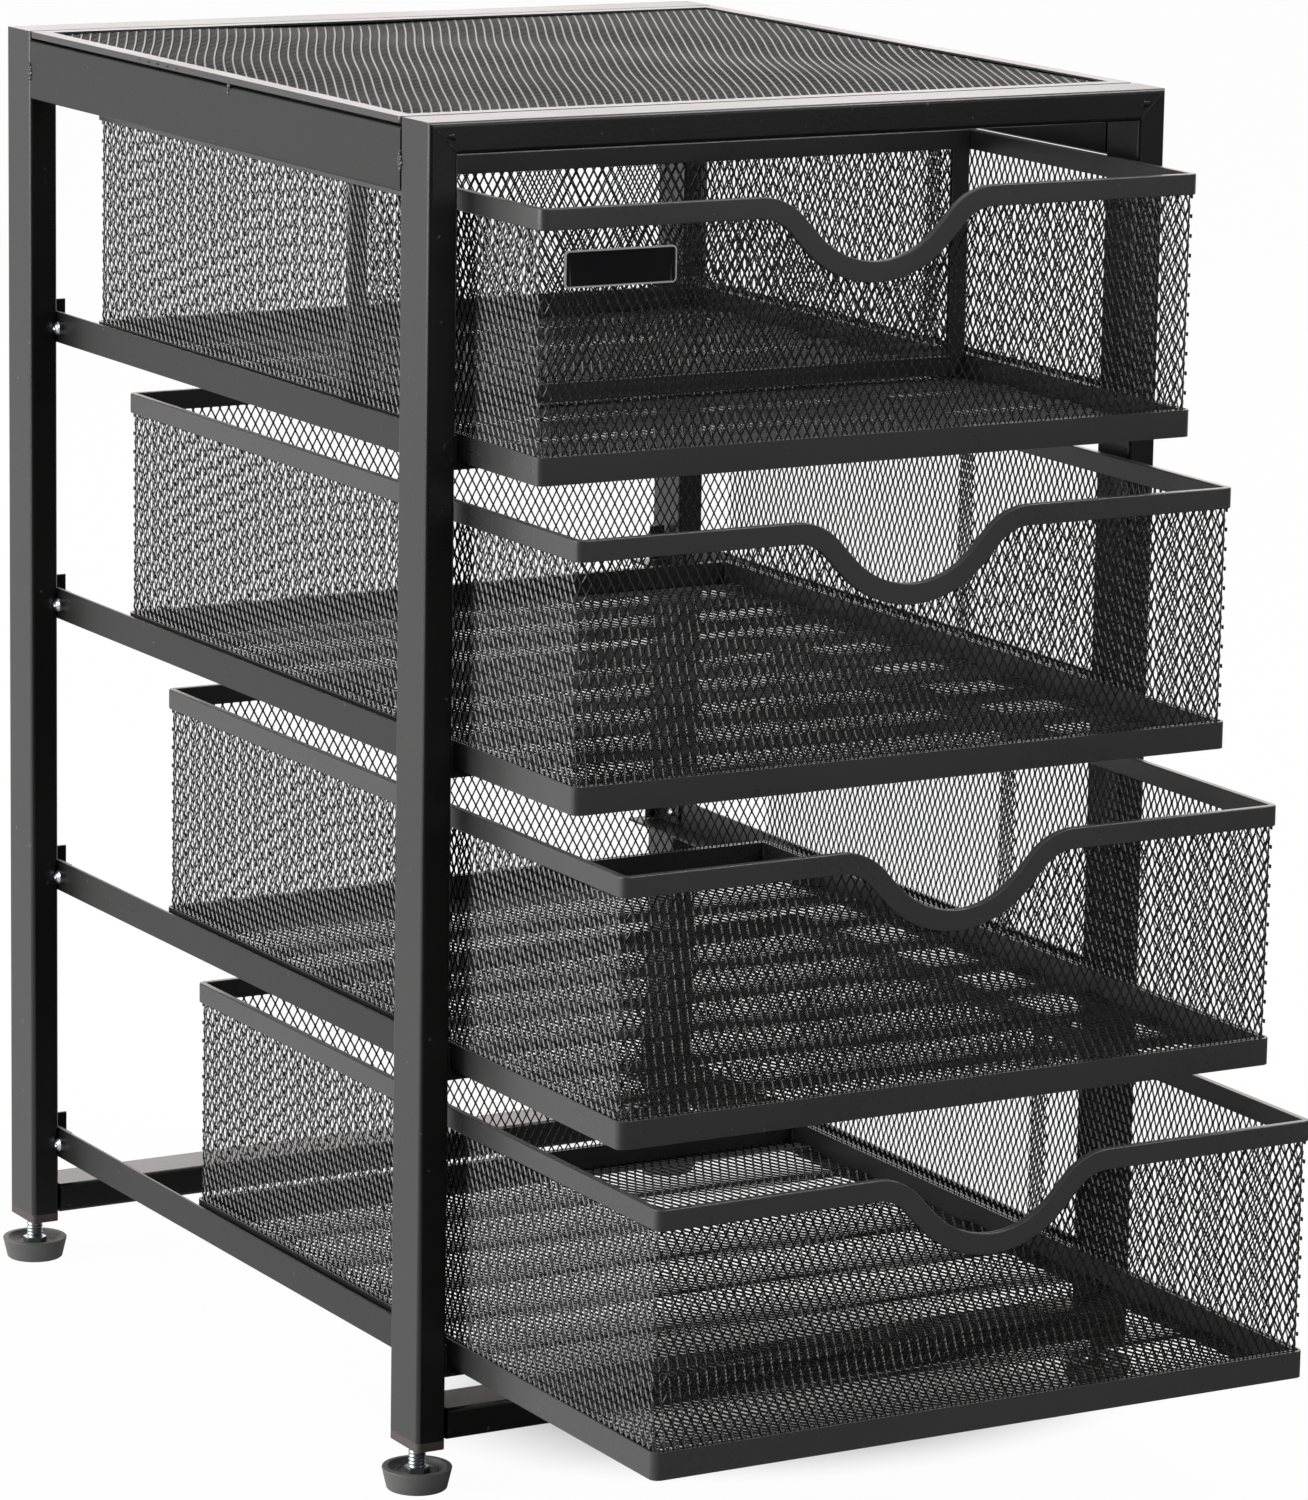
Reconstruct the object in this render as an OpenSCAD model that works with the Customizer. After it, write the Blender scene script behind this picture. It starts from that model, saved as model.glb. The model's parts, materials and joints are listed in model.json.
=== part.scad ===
// Desktop mini drawers: a tube frame on levelling feet that carries sliding expanded-mesh drawers.
// Millimetres. +X is the right side, +Y the back and +Z up. The feet stand on z = 0.

/* [Frame] */
// Overall height, from the floor to the top of the frame
frame_h = 450; // [446:0.5:460]
// Width over the legs
frame_w = 277; // [274:0.5:284]
// Depth over the legs
frame_d = 323; // [319:0.5:340]
// Narrow side of the tube
tube_w = 10.5; // [10:0.1:11]
// Wide side of the tube
tube_d = 20; // [18:0.5:21]
// Wall of the tube
tube_wall = 1.2; // [0.8:0.1:1.5]
// Outer corner radius of the tube
tube_r = 1.5; // [1:0.1:2]
// Height of the side rails
rail_h = 20.9; // [18:0.1:21.5]

/* [Top panel] */
// Thickness of the folded rim
panel_t = 2.2; // [2:0.1:2.6]
// Width of the folded rim
panel_rim_w = 6; // [5:0.5:9]
// Gap between the rim and the side rails under it
panel_gap = 0.9; // [0.3:0.1:0.9]

/* [Feet] */
// Height of the rubber pad
pad_h = 7.4; // [7:0.1:11]
// Diameter of the pad at its top
pad_top_d = 23.4; // [21.5:0.1:26]
// Diameter of the pad on the floor
pad_floor_d = 20.1; // [17:0.1:21]
// Depth of the dish in the pad's top
dish_h = 2; // [1.5:0.1:3]
// Width of the rim round the dish
dish_rim = 2.2; // [1.5:0.1:3]
// Diameter of the screw stem
stem_d = 5.9; // [5:0.1:6]
// Length of stem that shows between the pad and the leg
stem_gap = 7.6; // [4:0.1:9]
// Length of stem inside the leg
stem_in = 20; // [16:1:30]
// Width across the flats of the hexagon at the stem's foot
hex_w = 7.6; // [7:0.1:10]
// Height of that hexagon
hex_h = 2; // [1.5:0.1:2.5]
// Thickness of the end plug's flange
plug_flange = 3; // [2:0.1:4]
// Length of the end plug inside the leg
plug_in = 14; // [10:0.5:20]

/* [Runners] */
// Distance from one drawer to the next
level_pitch = 100; // [97:0.5:100]
// Height of the lowest ledge
ledge_z = 40; // [38:0.5:42]
// Height of the runner's flange
runner_h = 11; // [9:0.5:12]
// Thickness of the runner's sheet
runner_t = 1; // [0.8:0.1:1.2]
// Width of the ledge that a drawer slides on
ledge_w = 12; // [10:0.5:14]
// How far the runner starts behind the frame's front
runner_front = 1.5; // [1:0.1:4]
// How far the runner ends before the frame's back
runner_back = 6.5; // [5:0.5:9]

/* [Stops] */
// Thickness of the stop clip's sheet
clip_t = 1; // [0.8:0.1:1]
// Length of the clip along the runner
clip_len = 16; // [15.5:0.5:20]
// Width of the tab behind the drawer
tab_w = 7; // [6.6:0.1:8]
// Height of the tab above the runner
tab_rise = 3.2; // [2:0.1:6]
// Diameter of the stop screw's head
head_d = 4.8; // [4.4:0.1:5.4]
// Height of the stop screw's head
head_h = 2.8; // [2:0.1:3.2]
// Height of the head's domed end
head_dome = 1.2; // [0.8:0.1:1.6]
// Diameter of the stop screw's shank
shank_d = 3; // [2.5:0.1:3.2]
// Width across the flats of the socket in the head
socket_w = 1.6; // [1.3:0.1:1.8]
// How far a shut drawer stands out of the frame's front
shut_out = 15.5; // [14:0.5:20]
// Distance from a shut drawer's back to the frame's back
shut_gap = 11.5; // [10:0.5:16]

/* [Drawers] */
// Gap between a drawer and the legs on each side
side_gap = 5.5; // [5.5:0.1:6.5]
// Outer height of a drawer
drawer_h = 87; // [84:0.5:88]
// Radius of a drawer's upright corners
corner_r = 3; // [2.8:0.1:4]
// Thickness of the folded strip
strip_t = 2.6; // [2.4:0.1:2.7]
// Thickness of the strip at its fold
fold_t = 1.3; // [1.2:0.1:1.4]
// Height of the top strip
top_strip_h = 6.9; // [6:0.1:8]
// Height of the bottom strip
low_strip_h = 9; // [8:0.1:10]
// Width of the lip under the floor, from the outside
lip_w = 9; // [7:0.5:12]
// Thickness of that lip
lip_t = 1; // [0.8:0.1:1.2]
// How far the top drawer is drawn out
out_1 = 44.6; // [22.5:0.1:160]
// How far the second drawer is drawn out
out_2 = 70.7; // [22.5:0.1:160]
// How far the third drawer is drawn out
out_3 = 102.4; // [22.5:0.1:160]
// How far the lowest drawer is drawn out
out_4 = 127.5; // [22.5:0.1:160]

/* [Finger dip] */
// Depth of the dip in the front
dip_h = 22.5; // [21:0.5:26]
// Radius of the strip's top edge at the bottom of the dip
valley_r = 30; // [26:1:34]
// Radius of the strip's top edge at the shoulders
shoulder_r = 22; // [18:1:24]
// Steepest slope of the dip
dip_a = 47; // [46:1:50]

/* [Mesh] */
// Thickness of the expanded sheet
mesh_t = 0.8; // [0.6:0.1:0.9]
// Short way of a diamond
mesh_short = 21; // [20:0.5:26]
// Long way of a diamond
mesh_long = 40; // [36:1:42]
// Width of the strands
strand = 2.8; // [2:0.1:4]
// Width of the seam where the wall sheet overlaps
seam_w = 8; // [6:0.5:12]
// Distance of the seam from the drawer's front
seam_y = 157; // [130:1:190]

/* [Divider] */
// Distance of the top drawer's divider from its front
divider_y = 136; // [100:1:220]
// Width of the folded strips round the divider
divider_strip = 6.6; // [5:0.1:8]

/* [Label plate] */
// Width of the blank plate
plate_w = 40; // [34:0.5:44]
// Height of the blank plate
plate_h = 11.8; // [10:0.1:14]
// Thickness of the blank plate
plate_t = 0.8; // [0.6:0.1:0.9]
// Corner radius of the blank plate
plate_r = 1.5; // [1:0.1:2]
// Distance of the blank plate from the drawer's left side
plate_in = 8.5; // [6:0.5:30]
// Distance of the plate's top below the drawer's top
plate_drop = 13.4; // [10:0.1:18]

/* [Clearances] */
// Gap under a drawer and between seated pieces
seat = 0.3; // [0.2:0.05:0.4]
// Gap on each side of a sheet in its folded strip
slot_fit = 0.05; // [0.03:0.01:0.1]
// Gap round a screw in its hole
hole_fit = 0.05; // [0.03:0.01:0.1]

/* [Hidden] */
$fn = 48;
// How far a cut runs past the face it opens
eps = 1;
// Number of drawers
levels = 4;
outs = [out_1, out_2, out_3, out_4];
sides = [-1, 1];
leg_z = pad_h + stem_gap + plug_flange;
leg_x = frame_w / 2 - tube_w / 2;
leg_y = frame_d / 2 - tube_d / 2;
inner_x = frame_w / 2 - tube_w;
panel_d = frame_d - 2 * tube_d - 2 * seat;
panel_z = frame_h - panel_t;
rail_z = panel_z - panel_gap - rail_h;
rail_len = frame_d - 2 * tube_d;
front_y = -frame_d / 2;
drawer_w = 2 * (inner_x - side_gap);
drawer_d = frame_d + shut_out - shut_gap;
// The frame is set back so that the whole object, drawers included, is centred over the origin
reach_front = max(outs) - front_y;
reach_back = leg_y + pad_top_d / 2;
place_y = (reach_front - reach_back) / 2;

runner_y0 = front_y + runner_front;
runner_len = frame_d - runner_front - runner_back;
tab_y = frame_d / 2 - shut_gap + seat;
// The screw's head lies just in front of the rear leg
screw_y = leg_y - tube_d / 2 - head_d / 2 - seat;
screw_end = 1.2;
socket_h = 1.2;
dish_z = pad_h - dish_h;
socket_z = dish_z / 2;

// The divider fills the drawer between its side strips, from the floor sheet to the drawer's top
divider_w = drawer_w - 2 * (strip_t + seat);
divider_low = lip_t + mesh_t + seat;
divider_h = drawer_h - divider_low;

slot_w = mesh_t + 2 * slot_fit;
slot_in = (strip_t - slot_w) / 2;
sheet_in = (strip_t - mesh_t) / 2;
sheet_low = fold_t + slot_fit;
sheet_x = drawer_w / 2 - corner_r;
sheet_end = corner_r + seat;
// Pieces of hole that run on behind the folded strips
tuck = 2;
valley_z = valley_r - dip_h;
link_len = (dip_h - (valley_r + shoulder_r) * (1 - cos(dip_a))) / sin(dip_a);
dip_x = (valley_r + shoulder_r) * sin(dip_a) + link_len * cos(dip_a);
arc_steps = 12;

steel_black = [0.09, 0.09, 0.10];
mesh_black = [0.12, 0.12, 0.13];
zinc = [0.75, 0.76, 0.78];
rubber_black = [0.13, 0.13, 0.13];
plug_brown = [0.22, 0.18, 0.17];
plate_black = [0.03, 0.03, 0.035];

// ---- shared shapes ----

module rounded(w, d, r) {
    square([w - 2 * r, d], center = true);
    square([w, d - 2 * r], center = true);
    for (x = sides, y = sides) {
        translate([x * (w / 2 - r), y * (d / 2 - r)]) circle(r);
    }
}

module tube_section(w, d) {
    difference() {
        rounded(w, d, tube_r);
        rounded(w - 2 * tube_wall, d - 2 * tube_wall, tube_r - tube_wall / 2);
    }
}

// A slab of a shape drawn in X and Z, from y0 to y1
module slab(y0, y1) {
    translate([0, y1, 0]) rotate([90, 0, 0]) linear_extrude(y1 - y0) children();
}

// A slab of a shape drawn in Y and Z, from x0 to x1
module side_slab(x0, x1) {
    translate([x0, 0, 0]) rotate([90, 0, 90]) linear_extrude(x1 - x0) children();
}

// ---- expanded mesh ----

function within(v, size) = v > -0.01 && v < size + 0.01;

// Corners of one diamond, with the half cells at the window's edges cut on their centre lines
function diamond(c, a, b, w, h) =
    let (all = [[c[0] + a, c[1]], [c[0], c[1] + b], [c[0] - a, c[1]], [c[0], c[1] - b]])
    let (kept = [for (p = all) if (within(p[0], w) && within(p[1], h)) p])
    len(kept) == 2 ? concat(kept, [c]) : kept;

// Diamond holes that fill a window of w by h, as near as whole cells allow
module diamonds(w, h, short, long) {
    cols = round(w / short);
    rows = round(2 * h / long);
    cell_w = w / cols;
    half_h = h / rows;
    slope = sqrt(cell_w * cell_w / 4 + half_h * half_h);
    a = cell_w / 2 - strand / 2 * slope / half_h;
    b = half_h - strand / 2 * slope / (cell_w / 2);
    for (row = [0:rows], col = [0:cols - row % 2]) {
        polygon(diamond([(col + row % 2 / 2) * cell_w, row * half_h], a, b, w, h));
    }
}

// ---- frame ----

// The wedge above a leg's mitre, for a leg on the given side
module leg_mitre(side) {
    cut = side * (tube_w / 2 + eps);
    top = frame_h + eps;
    slab(-tube_d, tube_d) polygon([[-cut, top - tube_w - 2 * eps], [-cut, top], [cut, top]]);
}

module post(side, end) {
    color(steel_black) translate([side * leg_x, end * leg_y, 0]) difference() {
        translate([0, 0, leg_z]) linear_extrude(frame_h - leg_z) tube_section(tube_w, tube_d);
        leg_mitre(side);
    }
}

module top_tube(end) {
    color(steel_black) translate([0, end * leg_y, 0]) difference() {
        translate([0, 0, frame_h - tube_w / 2]) {
            side_slab(-frame_w / 2, frame_w / 2) tube_section(tube_d, tube_w);
        }
        for (side = sides) {
            slab(-tube_d, tube_d) polygon([
                [side * (frame_w / 2 + eps), frame_h + eps],
                [side * (frame_w / 2 + eps), frame_h - tube_w - eps],
                [side * (frame_w / 2 - tube_w - eps), frame_h - tube_w - eps]]);
        }
    }
}

module bottom_tube(end) {
    color(steel_black) translate([0, end * leg_y, leg_z + tube_w / 2]) {
        side_slab(-inner_x, inner_x) tube_section(tube_d, tube_w);
    }
}

module top_rail(side) {
    color(steel_black) translate([side * leg_x, 0, rail_z + rail_h / 2]) {
        slab(-rail_len / 2, rail_len / 2) tube_section(tube_w, rail_h);
    }
}

module top_panel_rim() {
    color(steel_black) translate([0, 0, panel_z]) difference() {
        linear_extrude(panel_t) difference() {
            rounded(frame_w, panel_d, tube_r);
            square([frame_w - 2 * panel_rim_w, panel_d - 2 * panel_rim_w], center = true);
        }
        translate([0, 0, panel_t / 2 - slot_w / 2]) linear_extrude(slot_w) {
            square([frame_w - 2 * fold_t, panel_d - 2 * fold_t], center = true);
        }
    }
}

module top_panel_mesh() {
    edge = fold_t + slot_fit;
    rim = panel_rim_w - tuck;
    w = frame_w - 2 * rim;
    d = panel_d - 2 * rim;
    color(mesh_black) translate([0, 0, panel_z + panel_t / 2 - mesh_t / 2]) {
        linear_extrude(mesh_t) difference() {
            square([frame_w - 2 * edge, panel_d - 2 * edge], center = true);
            translate([-w / 2, -d / 2]) diamonds(w, d, mesh_short, mesh_long);
        }
    }
}

// ---- runners and stops ----

function ledge_top(level) = ledge_z + (levels - level) * level_pitch;
function screw_z(level) = ledge_top(level) - runner_t + runner_h / 2;

// A bent sheet angle: its flange lies on the legs and its ledge points inwards
module runner(side, level) {
    foot = ledge_top(level) - runner_t;
    color(steel_black) scale([side, 1, 1]) difference() {
        union() {
            translate([inner_x - runner_t, runner_y0, foot]) cube([runner_t, runner_len, runner_h]);
            translate([inner_x - ledge_w, runner_y0, foot]) cube([ledge_w, runner_len, runner_t]);
        }
        translate([inner_x - runner_t - eps, screw_y, screw_z(level)]) rotate([0, 90, 0]) {
            cylinder(h = runner_t + 2 * eps, r = shank_d / 2 + hole_fit);
        }
    }
}

// A bent clip inside the runner's rear end, with a tab that a shut drawer meets
module stop_clip(side, level) {
    low = ledge_top(level) + seat;
    high = ledge_top(level) - runner_t + runner_h + tab_rise;
    leg_high = ledge_top(level) - runner_t + runner_h - seat;
    face = inner_x - runner_t;
    color(steel_black) scale([side, 1, 1]) difference() {
        union() {
            translate([face - clip_t, tab_y - clip_len, low]) cube([clip_t, clip_len, leg_high - low]);
            translate([inner_x - tab_w, tab_y, low]) cube([tab_w - runner_t, clip_t, high - low]);
        }
        translate([face - clip_t - eps, screw_y, screw_z(level)]) rotate([0, 90, 0]) {
            cylinder(h = clip_t + 2 * eps, r = shank_d / 2 + hole_fit);
        }
    }
}

// A round-headed screw whose head is outside the flange
module stop_screw(side, level) {
    tip = inner_x - runner_t - clip_t - screw_end;
    dome_r = (head_dome * head_dome + head_d * head_d / 4) / (2 * head_dome);
    scale([side, 1, 1]) translate([tip, screw_y, screw_z(level)]) rotate([0, 90, 0]) {
        difference() {
            union() {
                cylinder(h = inner_x - tip + head_h / 2, d = shank_d);
                translate([0, 0, inner_x - tip]) intersection() {
                    translate([0, 0, head_h - dome_r]) sphere(dome_r);
                    cylinder(h = head_h + eps, d = head_d);
                }
            }
            translate([0, 0, inner_x - tip + head_h - socket_h]) {
                cylinder(h = socket_h + eps, d = socket_w * 2 / sqrt(3), $fn = 6);
            }
        }
    }
}

module stop_screws() {
    color(zinc) for (side = sides, level = [1:levels]) stop_screw(side, level);
}

// ---- feet ----

module leg_plug(side, end) {
    inside_w = tube_w - 2 * (tube_wall + slot_fit);
    inside_d = tube_d - 2 * (tube_wall + slot_fit);
    bore_z = -plug_flange - eps;
    bore_h = plug_flange + plug_in + 2 * eps;
    color(plug_brown) translate([side * leg_x, end * leg_y, leg_z]) difference() {
        union() {
            translate([0, 0, -plug_flange]) linear_extrude(plug_flange) rounded(tube_w, tube_d, tube_r);
            linear_extrude(plug_in) rounded(inside_w, inside_d, tube_r - tube_wall / 2);
        }
        translate([0, 0, bore_z]) cylinder(h = bore_h, r = stem_d / 2 + hole_fit);
    }
}

module foot_stem(side, end) {
    color(zinc) translate([side * leg_x, end * leg_y, 0]) {
        translate([0, 0, socket_z]) cylinder(h = leg_z + stem_in - socket_z, d = stem_d);
        translate([0, 0, dish_z]) cylinder(h = hex_h, d = hex_w * 2 / sqrt(3), $fn = 6);
    }
}

module foot_pad(side, end) {
    color(rubber_black) translate([side * leg_x, end * leg_y, 0]) difference() {
        cylinder(h = pad_h, d1 = pad_floor_d, d2 = pad_top_d);
        translate([0, 0, dish_z]) {
            cylinder(h = dish_h, d1 = pad_top_d - 4 * dish_rim, d2 = pad_top_d - 2 * dish_rim);
        }
        translate([0, 0, dish_z + dish_h - eps / 10]) cylinder(h = eps, d = pad_top_d - 2 * dish_rim);
        translate([0, 0, socket_z]) cylinder(h = pad_h, d = stem_d);
    }
}

// ---- drawers ----

// A level strip round the drawer, o0 to o1 below the strip's folded edge, set in from the outer face
module strip_ring(o0, o1, inset, thick) {
    outer = [drawer_w - 2 * inset, drawer_d - 2 * inset];
    inner = outer - [2 * thick, 2 * thick];
    translate([0, drawer_d / 2, -o1]) linear_extrude(o1 - o0) difference() {
        rounded(outer[0], outer[1], corner_r - inset);
        rounded(inner[0], inner[1], corner_r - inset - thick);
    }
}

function arc(x, z, r, from, to) = [
    for (i = [0:arc_steps]) let (t = from + (to - from) * i / arc_steps) [x + r * cos(t), z + r * sin(t)]
];

// The dip's line from left to right, o below the strip's folded edge
function dip_line(o) = concat(
    arc(-dip_x, -shoulder_r, shoulder_r - o, 90, 90 - dip_a),
    arc(0, valley_z, valley_r + o, 270 - dip_a, 270 + dip_a),
    arc(dip_x, -shoulder_r, shoulder_r - o, 90 + dip_a, 90)
);

function reversed(list) = [for (i = [1:len(list)]) list[len(list) - i]];

// All of the front's plane that lies above the dip's line
module above_dip(o) {
    polygon(concat([[-dip_x, eps]], dip_line(o), [[dip_x, eps]]));
}

// The same strip as strip_ring, but it follows the dip in the front
module smile_ring(o0, o1, inset, thick) {
    end = dip_x + eps;
    difference() {
        strip_ring(o0, o1, inset, thick);
        translate([-dip_x, -eps, -o1 - eps]) {
            cube([2 * dip_x, inset + thick + 2 * eps, o1 - o0 + 2 * eps]);
        }
    }
    slab(inset, inset + thick) polygon(concat(
        [[-end, -o0]], dip_line(o0), [[end, -o0], [end, -o1]], reversed(dip_line(o1)), [[-end, -o1]]));
}

module drawer_place(level) {
    translate([0, front_y - outs[level - 1], ledge_top(level) + seat]) children();
}

module top_rim(level) {
    color(steel_black) drawer_place(level) translate([0, 0, drawer_h]) difference() {
        smile_ring(0, top_strip_h, 0, strip_t);
        smile_ring(fold_t, top_strip_h + eps, slot_in, slot_w);
    }
}

module bottom_rim(level) {
    lip_outer = [drawer_w - strip_t, drawer_d - strip_t];
    color(steel_black) drawer_place(level) {
        mirror([0, 0, 1]) difference() {
            strip_ring(0, low_strip_h, 0, strip_t);
            strip_ring(fold_t, low_strip_h + eps, slot_in, slot_w);
        }
        translate([0, drawer_d / 2, 0]) linear_extrude(lip_t) difference() {
            square(lip_outer, center = true);
            square([drawer_w - 2 * lip_w, drawer_d - 2 * lip_w], center = true);
        }
    }
}

// A flat wall of mesh drawn in its own plane, w wide, between the two folded strips
module wall_sheet(w) {
    low = low_strip_h - tuck;
    high = drawer_h - top_strip_h + tuck;
    difference() {
        translate([-w / 2, sheet_low]) square([w, drawer_h - 2 * sheet_low]);
        translate([-w / 2 + strand, low]) diamonds(w - 2 * strand, high - low, mesh_short, mesh_long);
    }
}

module front_sheet() {
    w = 2 * sheet_x;
    low = low_strip_h - tuck;
    high = drawer_h - top_strip_h + tuck;
    difference() {
        translate([-w / 2, sheet_low]) square([w, drawer_h - 2 * sheet_low]);
        translate([0, drawer_h]) above_dip(sheet_low);
        intersection() {
            translate([-w / 2 + strand, low]) diamonds(w - 2 * strand, high - low, mesh_short, mesh_long);
            difference() {
                translate([-w / 2, 0]) square([w, drawer_h]);
                translate([0, drawer_h]) above_dip(top_strip_h - tuck);
            }
        }
    }
}

// The sheet's bend round the front's right corner
module sheet_bend() {
    translate([sheet_x, corner_r, sheet_low]) rotate([0, 0, -90]) rotate_extrude(angle = 90) {
        translate([corner_r - sheet_in - mesh_t, 0]) square([mesh_t, drawer_h - 2 * sheet_low]);
    }
}

module wall_mesh(level) {
    side_len = drawer_d - 2 * sheet_end;
    wall_in = drawer_w / 2 - sheet_in - mesh_t;
    color(mesh_black) drawer_place(level) {
        slab(sheet_in, sheet_in + mesh_t) front_sheet();
        for (side = sides) scale([side, 1, 1]) sheet_bend();
        translate([0, drawer_d, 0]) mirror([0, 1, 0]) {
            slab(sheet_in, sheet_in + mesh_t) wall_sheet(2 * sheet_x);
            for (side = sides) scale([side, 1, 1]) sheet_bend();
        }
        for (side = sides) scale([side, 1, 1]) translate([0, drawer_d / 2, 0]) {
            side_slab(wall_in, wall_in + mesh_t) wall_sheet(side_len);
        }
        translate([wall_in - mesh_t, seam_y - seam_w / 2, low_strip_h + seat]) {
            cube([mesh_t, seam_w, drawer_h - low_strip_h - top_strip_h - 2 * seat]);
        }
    }
}

module floor_mesh(level) {
    gap = strip_t + seat;
    w = drawer_w - 2 * gap;
    d = drawer_d - 2 * gap;
    hole_w = drawer_w - 2 * (lip_w - tuck);
    hole_d = drawer_d - 2 * (lip_w - tuck);
    color(mesh_black) drawer_place(level) translate([0, drawer_d / 2, lip_t]) {
        linear_extrude(mesh_t) difference() {
            square([w, d], center = true);
            translate([-hole_w / 2, -hole_d / 2]) diamonds(hole_w, hole_d, mesh_short, mesh_long);
        }
    }
}

// A shape in the divider's own plane, as deep as the strip less what is left on each face
module divider_place(inset) {
    drawer_place(1) translate([0, divider_y, divider_low + divider_h / 2]) {
        slab(inset, strip_t - inset) children();
    }
}

module divider_rim() {
    color(steel_black) difference() {
        divider_place(0) difference() {
            square([divider_w, divider_h], center = true);
            square([divider_w - 2 * divider_strip, divider_h - 2 * divider_strip], center = true);
        }
        divider_place(slot_in) square([divider_w - 2 * fold_t, divider_h - 2 * fold_t], center = true);
    }
}

module divider_mesh() {
    w = divider_w - 2 * (divider_strip - tuck);
    h = divider_h - 2 * (divider_strip - tuck);
    color(mesh_black) divider_place(sheet_in) difference() {
        square([divider_w - 2 * sheet_low, divider_h - 2 * sheet_low], center = true);
        translate([-w / 2, -h / 2]) diamonds(w, h, mesh_short, mesh_long);
    }
}

module label_plate() {
    plate_x = -drawer_w / 2 + plate_in + plate_w / 2;
    color(plate_black) drawer_place(1) translate([plate_x, 0, drawer_h - plate_drop - plate_h / 2]) {
        slab(sheet_in - plate_t, sheet_in) rounded(plate_w, plate_h, plate_r);
    }
}

// ---- the object ----

module at() {
    translate([0, place_y, 0]) children();
}

at() post(-1, -1);  // post_front_left
at() post(1, -1);  // post_front_right
at() post(-1, 1);  // post_rear_left
at() post(1, 1);  // post_rear_right
at() top_tube(-1);  // front_top_tube
at() top_tube(1);  // rear_top_tube
at() bottom_tube(-1);  // front_bottom_tube
at() bottom_tube(1);  // rear_bottom_tube
at() top_rail(-1);  // left_top_rail
at() top_rail(1);  // right_top_rail
at() top_panel_rim();
at() top_panel_mesh();
at() runner(-1, 1);  // runner_left_1
at() runner(-1, 2);  // runner_left_2
at() runner(-1, 3);  // runner_left_3
at() runner(-1, 4);  // runner_left_4
at() runner(1, 1);  // runner_right_1
at() runner(1, 2);  // runner_right_2
at() runner(1, 3);  // runner_right_3
at() runner(1, 4);  // runner_right_4
at() stop_clip(-1, 1);  // stop_clip_left_1
at() stop_clip(-1, 2);  // stop_clip_left_2
at() stop_clip(-1, 3);  // stop_clip_left_3
at() stop_clip(-1, 4);  // stop_clip_left_4
at() stop_clip(1, 1);  // stop_clip_right_1
at() stop_clip(1, 2);  // stop_clip_right_2
at() stop_clip(1, 3);  // stop_clip_right_3
at() stop_clip(1, 4);  // stop_clip_right_4
at() stop_screws();
at() leg_plug(-1, -1);  // leg_plug_front_left
at() leg_plug(1, -1);  // leg_plug_front_right
at() leg_plug(-1, 1);  // leg_plug_rear_left
at() leg_plug(1, 1);  // leg_plug_rear_right
at() foot_stem(-1, -1);  // foot_stem_front_left
at() foot_stem(1, -1);  // foot_stem_front_right
at() foot_stem(-1, 1);  // foot_stem_rear_left
at() foot_stem(1, 1);  // foot_stem_rear_right
at() foot_pad(-1, -1);  // foot_pad_front_left
at() foot_pad(1, -1);  // foot_pad_front_right
at() foot_pad(-1, 1);  // foot_pad_rear_left
at() foot_pad(1, 1);  // foot_pad_rear_right
at() top_rim(1);  // drawer_1_top_rim
at() top_rim(2);  // drawer_2_top_rim
at() top_rim(3);  // drawer_3_top_rim
at() top_rim(4);  // drawer_4_top_rim
at() bottom_rim(1);  // drawer_1_bottom_rim
at() bottom_rim(2);  // drawer_2_bottom_rim
at() bottom_rim(3);  // drawer_3_bottom_rim
at() bottom_rim(4);  // drawer_4_bottom_rim
at() wall_mesh(1);  // drawer_1_wall_mesh
at() wall_mesh(2);  // drawer_2_wall_mesh
at() wall_mesh(3);  // drawer_3_wall_mesh
at() wall_mesh(4);  // drawer_4_wall_mesh
at() floor_mesh(1);  // drawer_1_floor_mesh
at() floor_mesh(2);  // drawer_2_floor_mesh
at() floor_mesh(3);  // drawer_3_floor_mesh
at() floor_mesh(4);  // drawer_4_floor_mesh
at() divider_rim();  // drawer_1_divider_rim
at() divider_mesh();  // drawer_1_divider_mesh
at() label_plate();  // drawer_1_label_plate
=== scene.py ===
import bpy
import json
import math
from mathutils import Matrix, Vector


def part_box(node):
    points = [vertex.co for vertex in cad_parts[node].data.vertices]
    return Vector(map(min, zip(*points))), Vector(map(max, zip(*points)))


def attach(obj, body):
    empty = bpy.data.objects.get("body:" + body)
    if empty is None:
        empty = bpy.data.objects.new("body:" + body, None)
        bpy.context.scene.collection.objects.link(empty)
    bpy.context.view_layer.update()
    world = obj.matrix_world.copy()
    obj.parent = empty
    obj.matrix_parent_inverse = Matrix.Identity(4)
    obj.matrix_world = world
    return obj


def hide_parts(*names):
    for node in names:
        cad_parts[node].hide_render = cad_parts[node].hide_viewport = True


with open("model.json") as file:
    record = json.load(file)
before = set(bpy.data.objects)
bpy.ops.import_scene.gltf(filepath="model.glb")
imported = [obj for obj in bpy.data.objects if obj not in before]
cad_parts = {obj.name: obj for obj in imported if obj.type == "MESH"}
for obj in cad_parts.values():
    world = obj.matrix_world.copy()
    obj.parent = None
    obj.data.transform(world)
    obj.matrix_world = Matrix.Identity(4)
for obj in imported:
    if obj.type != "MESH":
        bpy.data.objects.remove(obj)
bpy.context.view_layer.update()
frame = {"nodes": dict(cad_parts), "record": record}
mm = 0.001
bodies = ["drawer_1", "drawer_2", "drawer_3", "drawer_4"]


# ---- camera ----

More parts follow.
